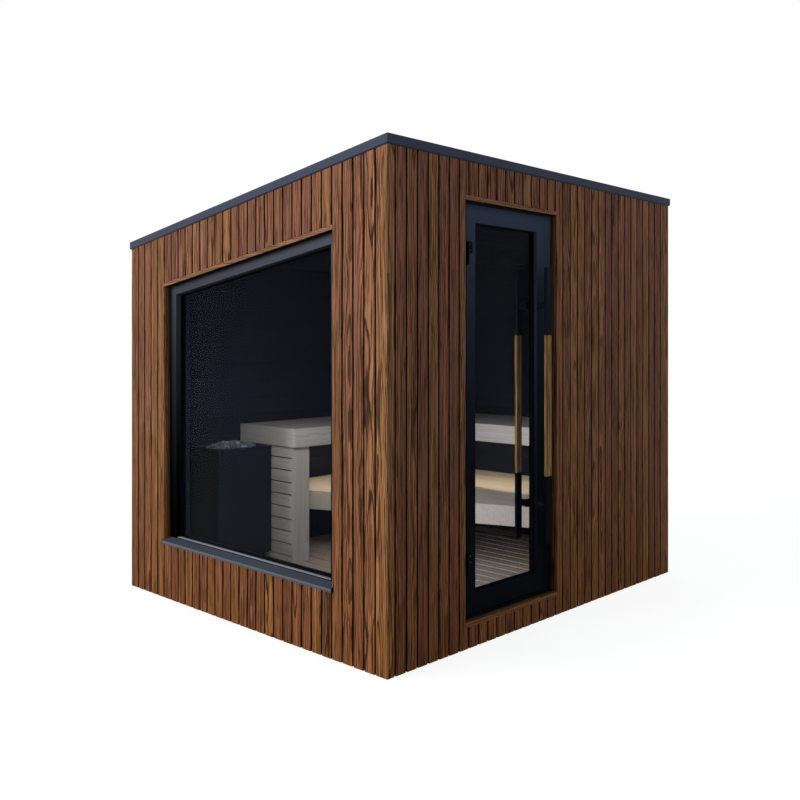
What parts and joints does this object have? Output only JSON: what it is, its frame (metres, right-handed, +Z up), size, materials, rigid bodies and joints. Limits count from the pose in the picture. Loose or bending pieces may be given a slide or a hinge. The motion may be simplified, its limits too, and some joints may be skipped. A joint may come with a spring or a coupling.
{
  "type": "outdoor sauna cabin",
  "caption": "Free-standing timber-clad sauna cabin with a single-pitch roof, a raked picture window, an outward-opening glazed door, two-level benches and a heater.",
  "frame": {"origin": "on the ground under the middle of the plan, on the underside of the middle base beam", "axes": "+Z up; -Y out of the front with the door; -X out of the window side; the roof falls towards +Y"},
  "size_m": [2.479, 2.1417, 2.3076],
  "materials": {
    "cladding_timber": "heat-treated boards, oiled, strong grain",
    "lining": "dark stained boards",
    "base_timber": "sawn structural timber and panels",
    "floor_timber": "planed slats",
    "bench_timber": "planed light boards",
    "grip_timber": "oiled oak-coloured grip",
    "roofing": "smooth dark membrane",
    "dark_metal": "satin anthracite powder coat",
    "sill_metal": "folded sheet, satin anthracite",
    "black_metal": "matt black powder coat",
    "glass": "tinted double glazing",
    "light": "warm light diffuser",
    "heater_metal": "matt dark steel case",
    "heater_stone": "rough grey stones"
  },
  "bodies": {
    "cabin": {"base_beam_left": "base_timber", "base_beam_middle": "base_timber", "base_beam_right": "base_timber", "floor_panel": "base_timber", "floor_slats": "floor_timber", "front_wall_left": "lining", "front_wall_right": "lining", "front_wall_head": "lining", "left_wall_front": "lining", "left_wall_rear": "lining", "left_wall_head": "lining", "left_wall_apron": "lining", "right_wall": "lining", "rear_wall": "lining", "ceiling": "lining", "roof_panel": "base_timber", "roof_sheet": "roofing", "roof_trim": "dark_metal", "cladding_front_left": "cladding_timber", "cladding_front_right": "cladding_timber", "cladding_front_over_door": "cladding_timber", "cladding_front_under_door": "cladding_timber", "cladding_left_front": "cladding_timber", "cladding_left_rear": "cladding_timber", "cladding_left_over_window": "cladding_timber", "cladding_left_under_window": "cladding_timber", "cladding_right": "cladding_timber", "cladding_rear": "cladding_timber", "door_head_board": "cladding_timber", "door_threshold_board": "cladding_timber", "window_head_board": "cladding_timber", "window_frame": "dark_metal", "window_glass": "glass", "window_sill": "sill_metal", "door_frame": "dark_metal", "hinge_upper_frame_half": "dark_metal", "hinge_lower_frame_half": "dark_metal", "upper_bench_rear": "bench_timber", "upper_bench_right": "bench_timber", "lower_bench": "bench_timber", "bench_pier": "bench_timber", "bench_light_rear": "light", "bench_light_right": "light", "heater_body": "heater_metal", "heater_stones": "heater_stone"},
    "door": {"door_leaf": "dark_metal", "door_glass": "glass", "outer_handle": "black_metal", "outer_grip": "grip_timber", "inner_handle": "black_metal", "inner_grip": "grip_timber", "hinge_upper_leaf_half": "dark_metal", "hinge_lower_leaf_half": "dark_metal"}
  },
  "joints": [
    {"name": "door_hinge", "type": "hinge", "parent": "cabin", "child": "door", "pos_m": [-0.6625, -1.021, 1.1], "axis": [0, 0, -1], "range_deg": [0, 90]}
  ]
}
